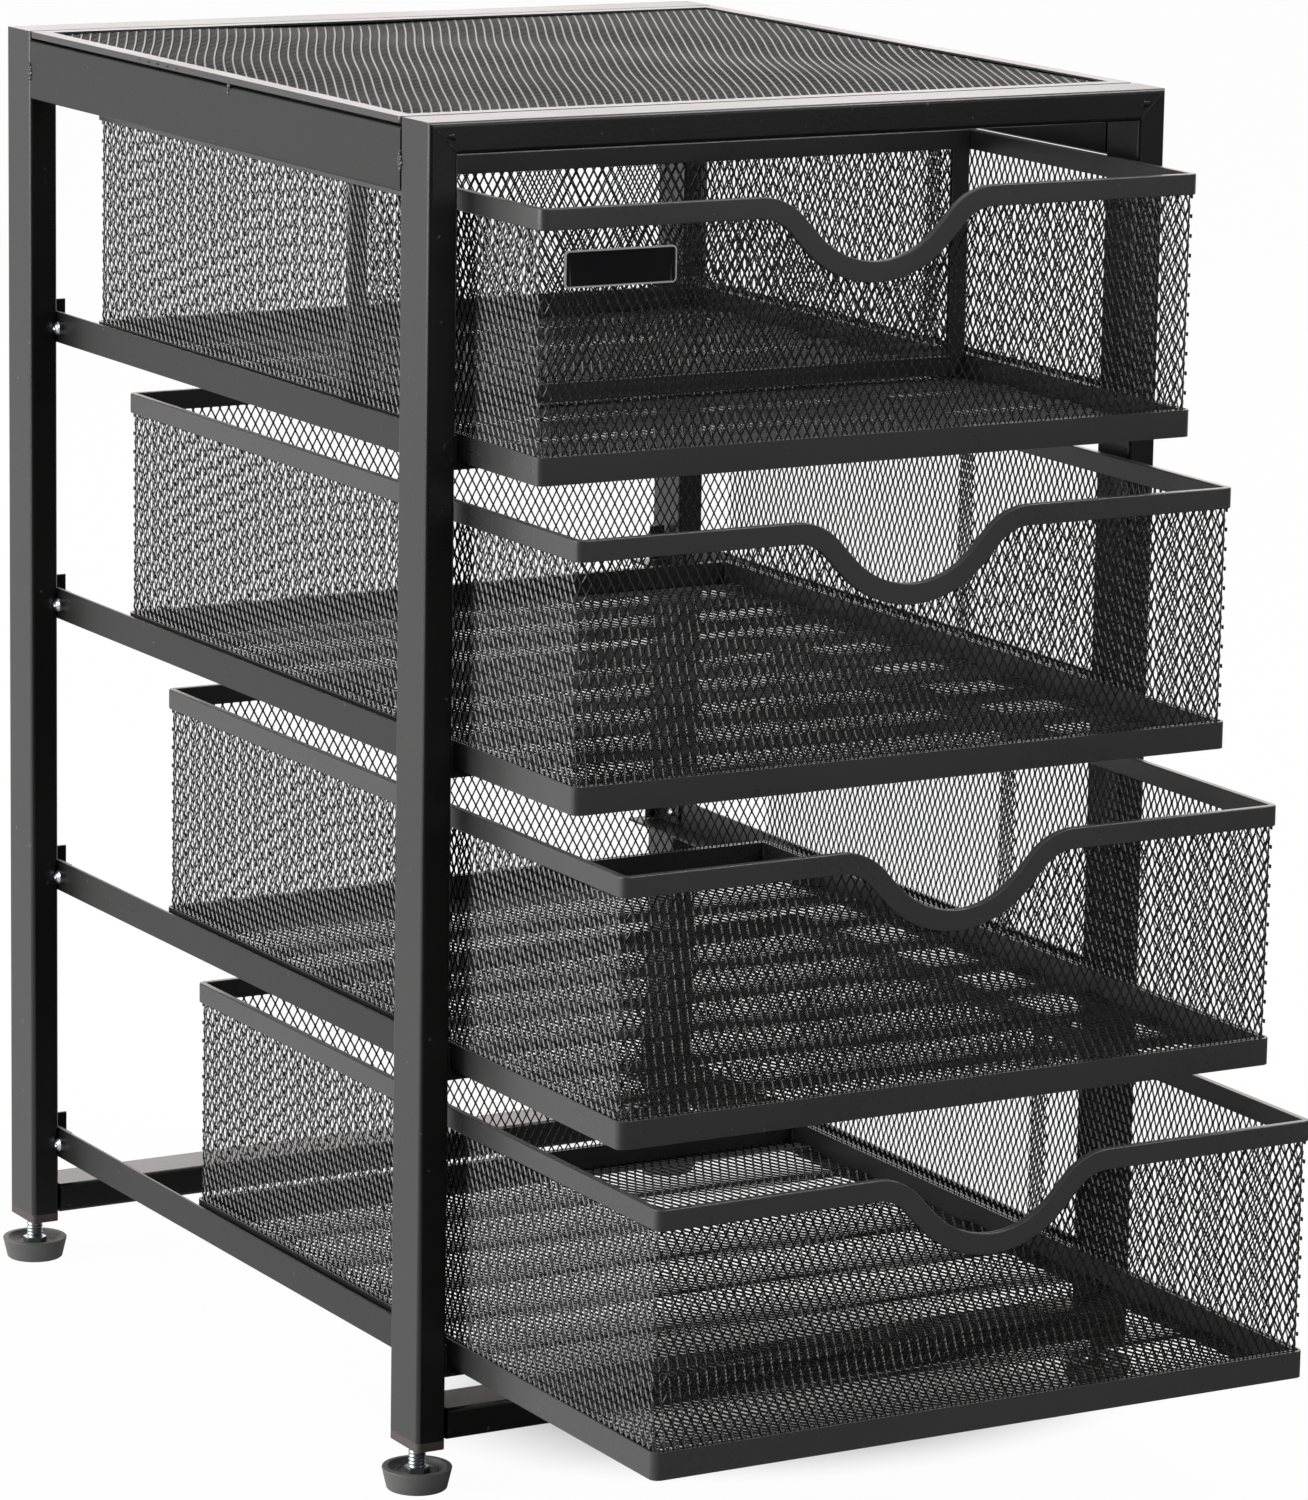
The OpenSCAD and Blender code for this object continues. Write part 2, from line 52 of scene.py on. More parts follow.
camera = {
    "image": (1308, 1500),
    "focal": 6659.4,        # in pixels of that image
    "centre": (657.7, 718.5),
    "yaw": -29.742,
    "pitch": 11.586,
    "roll": 0.958,
    "distance": 2334.1,
    "slide": (34.31, -6.66),
    "aim": (0, 62.9, 225),
    "sensor": 36,
}


def placeCamera(c):
    yaw, pitch, roll = (math.radians(c[k]) for k in ("yaw", "pitch", "roll"))
    back = Vector((math.sin(yaw) * math.cos(pitch), -math.cos(yaw) * math.cos(pitch), math.sin(pitch)))
    right = (-back).cross(Vector((0, 0, 1))).normalized()
    up = right.cross(-back)
    aim = Vector(c["aim"]) + right * c["slide"][0] + up * c["slide"][1]
    turned = right * math.cos(roll) + up * math.sin(roll)
    raised = up * math.cos(roll) - right * math.sin(roll)
    place = (aim + back * c["distance"]) * mm
    bpy.ops.object.camera_add()
    eye = bpy.context.object
    eye.matrix_world = Matrix((
        (turned.x, raised.x, back.x, place.x),
        (turned.y, raised.y, back.y, place.y),
        (turned.z, raised.z, back.z, place.z),
        (0, 0, 0, 1)))
    eye.data.sensor_fit = "VERTICAL"
    wide, high = c["image"]
    eye.data.sensor_height = c["sensor"]
    eye.data.lens = c["focal"] / high * c["sensor"]
    eye.data.shift_x = (wide / 2 - c["centre"][0]) / high
    eye.data.shift_y = (c["centre"][1] - high / 2) / high
    eye.data.clip_end = 20
    bpy.context.scene.camera = eye


placeCamera(camera)
print("camera placed")


# ---- materials ----

class Wire:
    # one output of a node, so that sums can be written as expressions
    def __init__(self, board, socket):
        self.board = board
        self.socket = socket

    def maths(self, kind, a, b):
        return self.board.node("ShaderNodeMath", {"operation": kind}, {0: a, 1: b})

    def __add__(self, other):
        return self.maths("ADD", self, other)

    def __radd__(self, other):
        return self.maths("ADD", other, self)

    def __sub__(self, other):
        return self.maths("SUBTRACT", self, other)

    def __rsub__(self, other):
        return self.maths("SUBTRACT", other, self)

    def __mul__(self, other):
        return self.maths("MULTIPLY", self, other)

    def __rmul__(self, other):
        return self.maths("MULTIPLY", other, self)

    def __truediv__(self, other):
        return self.maths("DIVIDE", self, other)

    def __pow__(self, other):
        return self.maths("POWER", self, other)

    def clipped(self):
        kept = self.maths("MAXIMUM", self, 0)
        return kept.maths("MINIMUM", kept, 1)


class Board:
    # the node tree of a material or of the world
    def __init__(self, owner, coords="Object"):
        self.material = owner
        self.material.use_nodes = True
        self.tree = self.material.node_tree
        self.shader = self.tree.nodes.get("Principled BSDF")
        self.coords = self.node("ShaderNodeTexCoord", {}, {}, coords)

    def node(self, kind, settings, inputs, output=0):
        made = self.tree.nodes.new(kind)
        for key, value in settings.items():
            setattr(made, key, value)
        for key, value in inputs.items():
            self.feed(made.inputs[key], value)
        return Wire(self, made.outputs[output])

    def feed(self, socket, value):
        if isinstance(value, Wire):
            self.tree.links.new(value.socket, socket)
        else:
            socket.default_value = value

    def noise(self, scale, detail=3.0, stretch=(1, 1, 1)):
        spread = self.node("ShaderNodeMapping", {}, {"Vector": self.coords, "Scale": stretch})
        return self.node("ShaderNodeTexNoise", {},
                         {"Vector": spread, "Scale": scale, "Detail": detail}, "Fac")

    def mix(self, amount, low, high):
        made = self.tree.nodes.new("ShaderNodeMix")
        made.data_type = "RGBA"
        self.feed(made.inputs[0], amount)
        self.feed(made.inputs[6], low)
        self.feed(made.inputs[7], high)
        return Wire(self, made.outputs[2])

    def bump(self, height, strength, distance):
        return self.node("ShaderNodeBump", {}, {"Height": height, "Strength": strength, "Distance": distance})

    def surface(self, **values):
        for key, value in values.items():
            self.feed(self.shader.inputs[key.replace("_", " ")], value)
        return self.material


def grey(value, warm=0.0):
    return (value + warm, value, value - warm, 1)


grainDepth = 0.2 * mm       # how deep every finish's grain is


def powderCoat(name, tone, gloss, sheen=0.5):
    # satin powder coat: fine orange peel, specks of dust, a little unevenness in tone and gloss
    board = Board(bpy.data.materials.new(name))
    peel = board.noise(900, 2)
    cloud = board.noise(14, 4)
    tint = board.mix(cloud, grey(tone * 0.86), grey(tone * 1.16, 0.0006))
    dust = ((board.noise(420, 1) - 0.755) * 16).clipped()
    tint = board.mix(dust * 0.6, tint, grey(0.11, 0.003))
    rough = gloss + (cloud - 0.5) * 0.14 + (peel - 0.5) * 0.08
    return board.surface(Specular_IOR_Level=sheen, Base_Color=tint, Roughness=rough,
                         Normal=board.bump(peel, 0.18, grainDepth))


def zincPlate():
    board = Board(bpy.data.materials.new("zinc_plate"))
    streak = board.noise(160, 3, (1, 1, 5))
    cloud = board.noise(45, 3)
    tint = board.mix(cloud, (0.30, 0.31, 0.33, 1), (0.46, 0.48, 0.50, 1))
    return board.surface(Base_Color=tint, Metallic=1.0, Roughness=0.22 + streak * 0.18,
                         Normal=board.bump(streak, 0.12, grainDepth))


def footRubber():
    board = Board(bpy.data.materials.new("foot_rubber"))
    grain = board.noise(1500, 2)
    cloud = board.noise(60, 3)
    tint = board.mix(cloud, grey(0.070), grey(0.105, 0.002))
    return board.surface(Base_Color=tint, Roughness=0.5 + grain * 0.16,
                         Normal=board.bump(grain, 0.22, grainDepth))


def plugPlastic():
    board = Board(bpy.data.materials.new("plug_plastic"))
    grain = board.noise(700, 3)
    tint = board.mix(grain, (0.040, 0.029, 0.026, 1), (0.075, 0.052, 0.046, 1))
    return board.surface(Base_Color=tint, Roughness=0.46 + grain * 0.14,
                         Normal=board.bump(grain, 0.15, grainDepth))


def plateEnamel():
    # near-black enamel with a thin bare border
    board = Board(bpy.data.materials.new("plate_enamel"))
    low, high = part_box("drawer_1_label_plate")
    parts = board.tree.nodes.new("ShaderNodeSeparateXYZ")
    board.feed(parts.inputs[0], board.coords)
    corner = 1.5 * mm
    past = []
    for axis, a, b in (("X", low.x, high.x), ("Z", low.z, high.z)):
        away = Wire(board, parts.outputs[axis]) - (a + b) / 2
        past.append(away.maths("ABSOLUTE", away, 0) - ((b - a) / 2 - corner))
    clear = [reach.maths("MAXIMUM", reach, 0) for reach in past]
    inside = corner - (clear[0] * clear[0] + clear[1] * clear[1]) ** 0.5
    border = (1 - (inside - 0.45 * mm) * 8000).clipped()
    cloud = board.noise(80, 3)
    tint = board.mix(border, board.mix(cloud, (0.002, 0.002, 0.003, 1), (0.005, 0.004, 0.005, 1)),
                     (0.30, 0.30, 0.30, 1))
    return board.surface(Base_Color=tint, Roughness=0.16 + cloud * 0.08 + border * 0.2,
                         Normal=board.bump(cloud, 0.05, grainDepth))


coat = powderCoat("frame_powder_coat", 0.006, 0.31)
sheetCoat = powderCoat("sheet_powder_coat", 0.008, 0.38, 0.28)
# the folded strips get the frame's black powder coat painted six times lighter: a painted light for the light
# their fronts catch
paintedLightStripCoat = powderCoat("strip_powder_coat_painted_light", 0.036, 0.30, 0.42)
topMeshCoat = powderCoat("top_mesh_powder_coat", 0.006, 0.30, 0.34)
meshCoat = powderCoat("mesh_powder_coat", 0.006, 0.27)
zinc = zincPlate()
rubber = footRubber()
plastic = plugPlastic()
enamel = plateEnamel()
finishes = {"frame_black": coat, "mesh": meshCoat, "zinc": zinc, "rubber": rubber, "plug": plastic,
            "plate": enamel}
slots = {entry["node"]: entry["material_slot"] for entry in frame["record"]["subparts"]}
for node, piece in frame["nodes"].items():
    piece.data.materials.clear()
    piece.data.materials.append(finishes[slots[node]])
print("materials made")


# ---- small helpers ----

def only(piece):
    bpy.ops.object.select_all(action="DESELECT")
    piece.select_set(True)
    bpy.context.view_layer.objects.active = piece


def apply(piece, kind, **settings):
    only(piece)
    modifier = piece.modifiers.new(kind.lower(), kind)
    for key, value in settings.items():
        setattr(modifier, key, value)
    bpy.ops.object.modifier_apply(modifier=modifier.name)


def settle(piece):
    only(piece)
    bpy.ops.object.transform_apply(location=True, rotation=True, scale=True)


def joined(pieces, name):
    bpy.ops.object.select_all(action="DESELECT")
    for piece in pieces:
        piece.select_set(True)
    bpy.context.view_layer.objects.active = pieces[0]
    if len(pieces) > 1:
        bpy.ops.object.join()
    result = bpy.context.object
    result.name = name
    result.data.name = name
    return result


def copied(piece, name):
    twin = bpy.data.objects.new(name, piece.data.copy())
    twin.data.name = name
    bpy.context.collection.objects.link(twin)
    return twin


def nodeCopy(node):
    # a merged copy of a solid, ready for modifiers
    twin = copied(frame["nodes"][node], node + "_look")
    only(twin)
    bpy.ops.object.mode_set(mode="EDIT")
    bpy.ops.mesh.select_all(action="SELECT")
    bpy.ops.mesh.remove_doubles(threshold=0.000002)
    bpy.ops.mesh.tris_convert_to_quads(face_threshold=math.radians(0.5), shape_threshold=math.radians(180))
    bpy.ops.object.mode_set(mode="OBJECT")
    return twin


def moved(piece, move):
    for vertex in piece.data.vertices:
        vertex.co = Vector(move(*vertex.co))
    piece.data.update()


def dressed(piece, body, slot, *nodes, finish=None):
    piece.data.materials.clear()
    piece.data.materials.append(finish or finishes[slot])
    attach(piece, body)
    if nodes:
        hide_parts(*nodes)
    return piece


def rounded(piece, width, segments=2, angle=50):
    # edges that turn by more than the angle are rounded
    apply(piece, "BEVEL", width=width, segments=segments, limit_method="ANGLE",
          angle_limit=math.radians(angle))


def smooth(piece, angle):
    # rounded edges shade softly and the flats stay flat
    only(piece)
    bpy.ops.object.shade_smooth_by_angle(angle=math.radians(angle))
    apply(piece, "WEIGHTED_NORMAL", keep_sharp=True)


# ---- expanded mesh ----

sheet = {
    "short": 3.5 * mm,      # across a diamond
    "long": 6.5 * mm,       # along a diamond
    "strand": 0.45 * mm,
    "thick": 0.36 * mm,
    "tilt": 30,             # how far the strands stand out of the sheet
    "bond": (0.8 * mm, 1.3 * mm),
}


def strand(width, length, thick, tilt, lean, place):
    bpy.ops.mesh.primitive_cube_add(size=1)
    piece = bpy.context.object
    piece.dimensions = (width, length, thick)
    only(piece)
    bpy.ops.object.transform_apply(location=False, rotation=False, scale=True)
    piece.matrix_world = (Matrix.Translation(place) @ Matrix.Rotation(lean, 4, "Z")
                          @ Matrix.Rotation(math.radians(tilt), 4, "Y"))
    settle(piece)
    return piece


def openEnds(piece, axis):
    # the two end faces go, so that strands run on into the next cell
    only(piece)
    bpy.ops.object.mode_set(mode="EDIT")
    bpy.ops.mesh.select_mode(type="FACE")
    bpy.ops.mesh.select_all(action="DESELECT")
    bpy.ops.object.mode_set(mode="OBJECT")
    for face in piece.data.polygons:
        face.select = abs(face.normal.dot(axis)) > 0.9
    bpy.ops.object.mode_set(mode="EDIT")
    bpy.ops.mesh.delete(type="FACE")
    bpy.ops.object.mode_set(mode="OBJECT")


def meshCell(name, w, h, wide, tilt):
    # one cell of w by h: two crossing strands and two bonds
    pieces = []
    for way in (-1, 1):
        lean = way * math.atan2(w, h)
        bar = strand(wide, math.hypot(w, h), sheet["thick"], tilt, lean, (w / 2, h / 2, 0))
        openEnds(bar, Vector((-math.sin(lean), math.cos(lean), 0)))
        pieces.append(bar)
    for place in ((0, 0, 0), (w / 2, h / 2, 0)):
        pieces.append(strand(*sheet["bond"], sheet["thick"] * 1.25, tilt, 0, place))
    return joined(pieces, name)


def flatSheet(name, cols, rows, w, h, wide=sheet["strand"], tilt=sheet["tilt"]):
    cell = meshCell(name, w, h, wide, tilt)
    apply(cell, "ARRAY", count=cols, use_relative_offset=False, use_constant_offset=True,
          constant_offset_displace=(w, 0, 0))
    apply(cell, "ARRAY", count=rows, use_relative_offset=False, use_constant_offset=True,
          constant_offset_displace=(0, h, 0))
    return cell


floorLook = {
    "inset": 5.8 * mm,      # how much less than the drawer's box, both ways
    "strand": 0.66 * mm,
    "tilt": -38,
    "ripple": 0.52 * mm,
    "rippleLength": 0.0375,
    "skew": 9,              # how far the ripples turn from straight across
    "shift": 0.37,          # from one drawer's ripples to the next's
}


def wave(x, y, size):
    return size * (math.sin(x * 31 + 0.7) * math.cos(y * 23 + 0.4) + 0.5 * math.sin(x * 57 + y * 41))


def ripple(x, y, size):
    # the floor sheets lie in long waves across, which open and close them to the eye
    turn = 0.6 - y * 2 * math.pi / floorLook["rippleLength"] - floorLook["skew"] * x
    return size * (math.cos(turn) + math.cos(2 * turn) / 4 + math.cos(3 * turn) / 9) + wave(x, y, size * 0.25)


drawer = {
    "wallRows": 12,
    "stripThick": 2.6 * mm,
    "cornerRadius": 3 * mm,
    "topStrip": 6.9 * mm,
    "meshFoot": 4.6 * mm,   # where the wall sheet starts in the bottom strip
    "seamFromFront": 157 * mm,
    "seamLap": 8 * mm,
    "lapEase": 3 * mm,      # the length over which the lap bends inwards
    "lapDepth": 0.5 * mm,
    "startEase": 11 * mm,
    "startDepth": 0.1 * mm,
    "wallWave": 0.16 * mm,
    "wallSway": 0.35 * mm,
    "dipDepth": 22.5 * mm,
    "valley": 30 * mm,
    "shoulder": 22 * mm,
    "slope": 47,
    "dipReach": 48 * mm,    # mesh is cut this far to each side of the middle
    "dipBand": 5 * mm,      # and is made finer this near the cut
    "dipTuck": 0.55,        # the share of the strip that the cut lies below its top
    "dipSlack": 1.2 * mm,
}


def dipDepth(x):
    # how far the top strip's edge lies below its level part, at x from the middle
    d = drawer
    slope = math.radians(d["slope"])
    link = (d["dipDepth"] - (d["valley"] + d["shoulder"]) * (1 - math.cos(slope))) / math.sin(slope)
    half = (d["valley"] + d["shoulder"]) * math.sin(slope) + link * math.cos(slope)
    x = abs(x)
    if x >= half:
        return 0
    if half - x < d["shoulder"] * math.sin(slope):
        return d["shoulder"] - math.sqrt(d["shoulder"] ** 2 - (half - x) ** 2)
    if x < d["valley"] * math.sin(slope):
        return d["dipDepth"] - d["valley"] + math.sqrt(d["valley"] ** 2 - x ** 2)
    rise = (x - d["valley"] * math.sin(slope)) * math.tan(slope)
    return d["dipDepth"] - d["valley"] * (1 - math.cos(slope)) - rise


def wallPath(width, depth):
    # straight and round stretches of the sheet, from the seam on the right, round the back, left and front
    r = drawer["cornerRadius"] - drawer["stripThick"] / 2
    a = width / 2 - drawer["stripThick"] / 2
    y0 = drawer["stripThick"] / 2
    y1 = depth - y0
    seam = drawer["seamFromFront"]
    quarter = math.pi / 2 * r
    spans = [
        ("line", (a, seam), (0, 1), y1 - r - seam),
        ("arc", (a - r, y1 - r), 0, quarter),
        ("line", (a - r, y1), (-1, 0), 2 * (a - r)),
        ("arc", (r - a, y1 - r), 90, quarter),
        ("line", (-a, y1 - r), (0, -1), y1 - y0 - 2 * r),
        ("arc", (r - a, y0 + r), 180, quarter),
        ("line", (r - a, y0), (1, 0), 2 * (a - r)),
        ("arc", (a - r, y0 + r), 270, quarter),
        ("line", (a, y0 + r), (0, 1), seam - y0 - r + drawer["seamLap"]),
    ]

    def at(s, out):
        for kind, start, heading, length in spans:
            if s <= length or spans[-1][1] == start:
                break
            s -= length
        if kind == "line":
            return (start[0] + heading[0] * s + heading[1] * out,
                    start[1] + heading[1] * s - heading[0] * out)
        turn = math.radians(heading) + s / r
        return (start[0] + (r + out) * math.cos(turn), start[1] + (r + out) * math.sin(turn))

    total = sum(span[3] for span in spans)
    frontStart = sum(span[3] for span in spans[:6])
    return at, total, frontStart, 2 * (a - r)


def cutDip(piece, frontStart, frontLen, height):
    # in the front, mesh above the middle of the dipping strip goes
    def edge(x):
        across = x - frontStart - frontLen / 2
        slope = (dipDepth(across + 0.5 * mm) - dipDepth(across - 0.5 * mm)) / mm
        tuck = drawer["topStrip"] * drawer["dipTuck"]
        return height - dipDepth(across) - tuck - abs(slope) * drawer["dipSlack"]

    def pick(rule):
        bpy.ops.mesh.select_all(action="DESELECT")
        bpy.ops.object.mode_set(mode="OBJECT")
        for face in piece.data.polygons:
            x, y = face.center[0], face.center[1]
            face.select = abs(x - middle) < drawer["dipReach"] and rule(y - edge(x))
        bpy.ops.object.mode_set(mode="EDIT")

    middle = frontStart + frontLen / 2
    only(piece)
    bpy.ops.object.mode_set(mode="EDIT")
    bpy.ops.mesh.select_mode(type="FACE")
    pick(lambda above: abs(above) < drawer["dipBand"])
    bpy.ops.mesh.subdivide(number_cuts=2)
    pick(lambda above: above > 0)
    bpy.ops.mesh.delete(type="FACE")
    bpy.ops.object.mode_set(mode="OBJECT")


def wallSheet(name, width, depth, height):
    at, total, frontStart, frontLen = wallPath(width, depth)
    cols = round(total / sheet["short"])
    step = total / cols
    piece = flatSheet(name, cols, drawer["wallRows"], step, sheet["long"])
    moved(piece, lambda x, y, z: (x, y + drawer["meshFoot"], z))
    cutDip(piece, frontStart, frontLen, height)
    lapStart = total - drawer["seamLap"]

    def wrap(x, y, z):
        # the lap lies inside the sheet's start, and both give way a little
        lap = max(0.0, min(1.0, (x - lapStart + drawer["lapEase"]) / drawer["lapEase"]))
        start = max(0.0, 1 - x / drawer["startEase"])
        out = z + wave(x, y, drawer["wallWave"]) - drawer["lapDepth"] * lap + drawer["startDepth"] * start
        p = at(min(max(x + sway(x, y, drawer["wallSway"]), 0), total), out)
        return (p[0], p[1], y)

    moved(piece, wrap)
    return piece


def floorSheet(name, w, d, cell=sheet["long"], *strands):
    cols = round(w / sheet["short"])
    rows = round(d / cell)
    return flatSheet(name, cols, rows, w / cols, d / rows, *strands)


def sway(x, y, size):
    # the rows of diamonds aren't quite straight
    return size * (math.sin(y * 26 + x * 6) + 0.4 * math.sin(y * 58 - x * 13 + 1))


box = {node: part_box(node) for node in frame["nodes"]}
low, high = box["drawer_1_top_rim"]
size = (high.x - low.x, high.y - low.y, high.z - box["drawer_1_bottom_rim"][0].z)
firstWall = wallSheet("drawer_1_wall_sheet", *size)
firstFloor = floorSheet("drawer_1_floor_sheet", size[0] - floorLook["inset"], size[1] - floorLook["inset"],
                        sheet["long"], floorLook["strand"], floorLook["tilt"])
walls = [firstWall] + [copied(firstWall, body + "_wall_sheet") for body in bodies[1:]]
floors = [firstFloor] + [copied(firstFloor, body + "_floor_sheet") for body in bodies[1:]]
for number, body in enumerate(bodies):
    corner = box[body + "_bottom_rim"][0]
    shift = Vector((0, corner.y, corner.z))
    floorBox = box[body + "_floor_mesh"]
    level = (floorBox[0].z + floorBox[1].z) / 2
    seed = number * floorLook["shift"]
    moved(walls[number], lambda x, y, z: (x, y + shift.y, z + shift.z))
    moved(floors[number], lambda x, y, z: (
        x + floorBox[0].x, y + floorBox[0].y, z + level + ripple(x + seed, y, floorLook["ripple"])))
    dressed(walls[number], body, "mesh", body + "_wall_mesh")
    dressed(floors[number], body, "mesh", body + "_floor_mesh")
print("drawer sheets made", len(firstWall.data.polygons), len(firstFloor.data.polygons))

topLook = {
    "row": 7.4 * mm,
    "strand": 0.50 * mm,
    "tilt": -18,
    "drop": 0.1 * mm,
    "sway": 0.9 * mm,
    "wave": 0.34 * mm,
}

topBox = box["top_panel_mesh"]
topSheet = floorSheet("top_sheet", topBox[1].x - topBox[0].x, topBox[1].y - topBox[0].y,
                      topLook["row"], topLook["strand"], topLook["tilt"])
topLevel = (topBox[0].z + topBox[1].z) / 2
moved(topSheet, lambda x, y, z: (
    x + topBox[0].x + sway(x, y, topLook["sway"]), y + topBox[0].y,
    z + topLevel - topLook["drop"] + wave(x, y, topLook["wave"])))
dressed(topSheet, "frame", "mesh", "top_panel_mesh", finish=topMeshCoat)
print("top sheet made")

dividerLook = {"wave": 0.1 * mm}
dividerBox = box["drawer_1_divider_mesh"]
dividerSheet = floorSheet("divider_sheet", dividerBox[1].x - dividerBox[0].x,
                          dividerBox[1].z - dividerBox[0].z)
dividerMiddle = (dividerBox[0].y + dividerBox[1].y) / 2
moved(dividerSheet, lambda x, y, z: (
    x + dividerBox[0].x, dividerMiddle - z + wave(x, y, dividerLook["wave"]), y + dividerBox[0].z))
dressed(dividerSheet, "drawer_1", "mesh", "drawer_1_divider_mesh")
print("divider sheet made")


# ---- folded strips ----

strip = {                   # how round each kind of strip's edges are
    "top": 1.15 * mm,
    "bottom": 0.8 * mm,
    "divider": 0.7 * mm,
    "panel": 0.85 * mm,
}


def foldedStrip(node, body, width):
    rim = nodeCopy(node)
    rounded(rim, width, 3, 40)
    smooth(rim, 30)
    # the strips take the lighter copy of the black coat, a painted light
    return dressed(rim, body, "frame_black", node, finish=paintedLightStripCoat)


for body in bodies:
    foldedStrip(body + "_top_rim", body, strip["top"])
    foldedStrip(body + "_bottom_rim", body, strip["bottom"])
foldedStrip("drawer_1_divider_rim", "drawer_1", strip["divider"])
foldedStrip("top_panel_rim", "frame", strip["panel"])
print("folded strips made")


# ---- frame ----

tubes = ["post_front_left", "post_front_right", "post_rear_left", "post_rear_right", "front_top_tube",
         "rear_top_tube", "left_top_rail", "right_top_rail"]
for node in tubes:
    tube = nodeCopy(node)
    smooth(tube, 40)
    dressed(tube, "frame", "frame_black", node, finish=sheetCoat if node.endswith("rail") else coat)

crossTube = {"slit": 0.8 * mm}      # the cross tubes stop this short of the legs
for node in ("front_bottom_tube", "rear_bottom_tube"):
    tube = nodeCopy(node)
    end = box[node][1].x
    moved(tube, lambda x, y, z: (
        x - math.copysign(crossTube["slit"], x) if abs(x) > end - 0.1 * mm else x, y, z))
    smooth(tube, 40)
    dressed(tube, "frame", "frame_black", node)

bentSheet = {"edge": 0.22 * mm}
for node in frame["nodes"]:
    if node.startswith(("runner_", "stop_clip_")):
        bent = nodeCopy(node)
        rounded(bent, bentSheet["edge"], 2, 40)
        smooth(bent, 40)
        dressed(bent, "frame", "frame_black", node, finish=sheetCoat)

screws = nodeCopy("stop_screws")
smooth(screws, 30)
dressed(screws, "frame", "zinc", "stop_screws")
print("tubes and runners made")


weld = {                    # in millimetres: where each kind of bead runs, and its width and height
    "mitre": {"ends": ((1.4, 1.4), (10.1, 10.1)), "size": (1.1, 0.3)},      # in and down from the corner
    "dab": {"ends": ((6.2, 4.6), (9.6, 5.2)), "size": (2.4, 0.6)},
    "rail": {"ends": (10.5, 17.5), "size": (3.4, 0.8)},                     # down from the top
    "cross": {"ends": ((9, 21.5), (17.5, 19.6)), "size": (1.6, 0.9)},       # outwards, and up from the floor
    "panel": {"ends": ((18, 1.4), (17, 6.4)), "size": (2.0, 0.45)},         # forwards, and down from the top
}
beadSteps = (26, 10)        # along a bead and across it
beadSunk = 0.06 * mm


def weldBead(start, end, out, width, height, seed):
    # a rippled bead that lies on a face, from one point to another
    bpy.ops.mesh.primitive_grid_add(x_subdivisions=beadSteps[0], y_subdivisions=beadSteps[1], size=2)
    bead = bpy.context.object
    start, end, out = Vector(start) * mm, Vector(end) * mm, Vector(out)
    along = end - start
    side = out.cross(along).normalized()

    def place(x, y, z):
        # the bead tapers to its ends, and its width and height waver on the way
        u = (x + 1) / 2
        taper = math.sqrt(max(0.0, 1 - abs(x) ** 4))
        across = y * width * mm * taper * (0.42 + 0.10 * math.sin(u * 9 + seed))
        rise = math.sqrt(max(0.0, 1 - y * y)) * taper
        lump = height * mm * (0.8 + 0.25 * math.sin(u * 26 + seed))
        return start + along * u + side * across + out * (rise * lump - beadSunk)

    moved(bead, place)
    return bead


def frameWelds():
    post = box["post_front_left"]
    wide, deep = (post[1].x - post[0].x) / mm, (post[1].y - post[0].y) / mm
    front, back = post[0].y / mm, box["post_rear_left"][1].y / mm
    half, top = box["post_front_right"][1].x / mm, box["front_top_tube"][1].z / mm
    beads = []

    def bead(kind, ends, out, seed):
        beads.append(weldBead(*ends, out, *weld[kind]["size"], seed))

    for way in (-1, 1):
        for face, out in ((front, -1), (back, 1)):
            seam = face - out * deep
            for kind, seed in (("mitre", way + face), ("dab", face)):
                ends = [(way * (half - inward), face, top - down) for inward, down in weld[kind]["ends"]]
                bead(kind, ends, (0, out, 0), seed)
            bead("rail", [(way * half, seam, top - down) for down in weld["rail"]["ends"]], (way, 0, 0), seam)
            bead("cross", [(way * (half - wide), seam + out * outward, up)
                           for outward, up in weld["cross"]["ends"]], (-way, 0, 0), seam)
        bead("panel", [(way * half, (front + back) / 2 - forward, top - down)
                       for forward, down in weld["panel"]["ends"]], (way, 0, 0), way)
    piece = joined(beads, "frame_welds")
    smooth(piece, 60)
    return dressed(piece, "frame", "frame_black")


frameWelds()
print("welds made")


# ---- feet ----

foot = {
    "padProfile": [
        (0, 0), (9.7, 0), (10.05, 0.3), (11.62, 7.0), (11.5, 7.3), (11.15, 7.4), (9.75, 7.4), (9.5, 7.2),
        (8.9, 6.4), (8.0, 5.9), (7.3, 5.75), (7.0, 5.95), (6.6, 5.95), (6.3, 5.6), (5.2, 5.4),
        (2.95, 5.4), (2.95, 2.7), (0, 2.7)],
    "stemFoot": 2.8,
    "stemTop": 37.9,
    "stemPoint": 2.1,       # the stem's radius at its top
    "threadRoot": 2.5,
    "threadCrest": 2.9,
    "threadPitch": 1.25,
    "threadFlat": (0.36, 0.56),     # the part of each pitch that the crest takes up
    "threadLead": 0.3,      # from the stem's foot to the first ring
    "nut": (7.6, 5.4, 7.4),     # across flats, from, to
    "nutEdge": 0.3 * mm,
    "plugEdge": 0.35 * mm,
    "threadLean": 0.066,    # the rings lean a little, as a thread does
    "leanFrom": 4 * mm,
}


